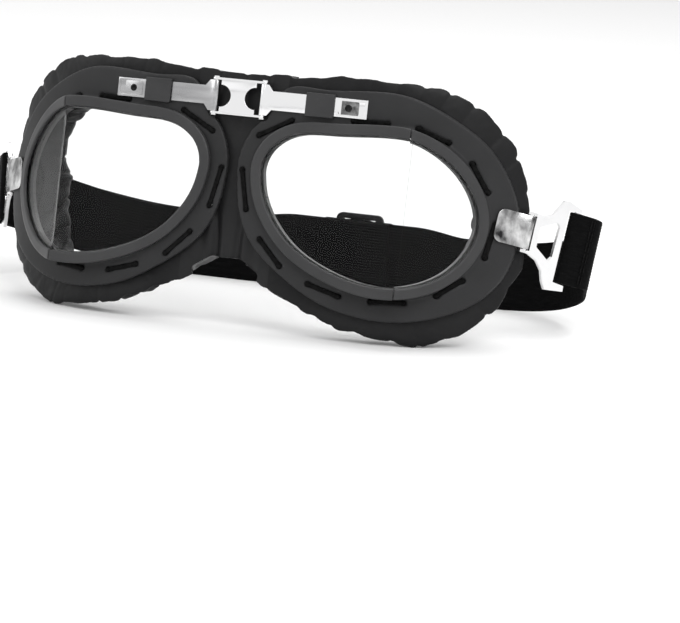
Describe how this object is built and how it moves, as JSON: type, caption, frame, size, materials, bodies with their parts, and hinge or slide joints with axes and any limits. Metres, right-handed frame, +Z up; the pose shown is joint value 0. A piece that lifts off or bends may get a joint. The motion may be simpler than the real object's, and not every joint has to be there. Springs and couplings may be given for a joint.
{
  "type": "flying goggles",
  "caption": "Aviator flying goggles with bent two-pane lenses in moulded eyecups, a hinged metal bridge, a gathered face cushion, swinging strap clips and an adjustable webbing strap.",
  "frame": {"origin": "centre of the bounding box's footprint, at the level of the table that the pads and the strap's lower edge rest on", "axes": "+X towards the wearer's left, -Y forwards out of the lenses, +Z up"},
  "size_m": [0.2398, 0.1188, 0.0937],
  "materials": {
    "flange_rubber": "matte",
    "rim_rubber": "satin",
    "lens": "clear",
    "gasket_rubber": "matte",
    "stitching": "matte",
    "bright_metal": "polished",
    "sleeve_rubber": "satin",
    "pad_leather": "satin",
    "nose_leather": "satin",
    "webbing": "matte",
    "slider_plastic": "gloss"
  },
  "bodies": {
    "bridge": {"bridge_link": "bright_metal", "bridge_pin_left": "bright_metal", "bridge_pin_right": "bright_metal", "nose_saddle": "nose_leather", "nose_panel": "nose_leather", "strap_running": "webbing", "strap_inner_run": "webbing", "strap_curl_left": "webbing", "strap_curl_right": "webbing", "strap_inner_curl_right": "webbing"},
    "left_cup": {"rim_front_left": "rim_rubber", "rim_side_left": "rim_rubber", "front_pane_left": "lens", "side_pane_left": "lens", "lens_gasket_left": "gasket_rubber", "eyecup_left": "flange_rubber", "flange_stitches_left": "stitching", "bridge_arm_left": "bright_metal", "arm_sleeve_left": "sleeve_rubber", "bridge_rivet_left": "bright_metal", "face_cushion_left": "pad_leather", "side_tab_left": "bright_metal"},
    "right_cup": {"rim_front_right": "rim_rubber", "rim_side_right": "rim_rubber", "front_pane_right": "lens", "side_pane_right": "lens", "lens_gasket_right": "gasket_rubber", "eyecup_right": "flange_rubber", "flange_stitches_right": "stitching", "bridge_arm_right": "bright_metal", "arm_sleeve_right": "sleeve_rubber", "bridge_rivet_right": "bright_metal", "face_cushion_right": "pad_leather", "side_tab_right": "bright_metal"},
    "left_clip": {"strap_clip_left": "bright_metal", "strap_sewn_loop_left": "webbing", "strap_sewing_left": "stitching"},
    "right_clip": {"strap_clip_right": "bright_metal", "strap_hook_turn_right": "webbing"},
    "slider": {"slider": "slider_plastic", "slider_wrap": "webbing"}
  },
  "joints": [
    {"name": "left_cup_fold", "type": "hinge", "parent": "bridge", "child": "left_cup", "pos_m": [0.0092, -0.04726, 0.08166], "axis": [0, 0.1478, 0.989], "range_deg": [-4, 12], "stiffness_Nm_per_rad": 0.05, "deforming": ["nose_saddle", "nose_panel", "strap_curl_left"]},
    {"name": "right_cup_fold", "type": "hinge", "parent": "bridge", "child": "right_cup", "pos_m": [-0.0092, -0.04726, 0.08166], "axis": [0, -0.1478, -0.989], "range_deg": [-4, 12], "stiffness_Nm_per_rad": 0.05, "deforming": ["nose_saddle", "nose_panel", "strap_curl_right", "strap_inner_curl_right"]},
    {"name": "left_clip_swing", "type": "hinge", "parent": "left_cup", "child": "left_clip", "pos_m": [0.10114, -0.02115, 0.04133], "axis": [0.1018, 0.2403, 0.9654], "range_deg": [-25, 20], "deforming": ["strap_curl_left"]},
    {"name": "right_clip_swing", "type": "hinge", "parent": "right_cup", "child": "right_clip", "pos_m": [-0.10114, -0.02115, 0.04133], "axis": [0.1018, -0.2403, -0.9654], "range_deg": [-25, 20], "deforming": ["strap_curl_right", "strap_inner_curl_right"]},
    {"name": "slider_shift", "type": "slide", "parent": "bridge", "child": "slider", "axis": [1, 0, 0], "range_m": [-0.015, 0.015], "deforming": ["strap_inner_run"]}
  ]
}
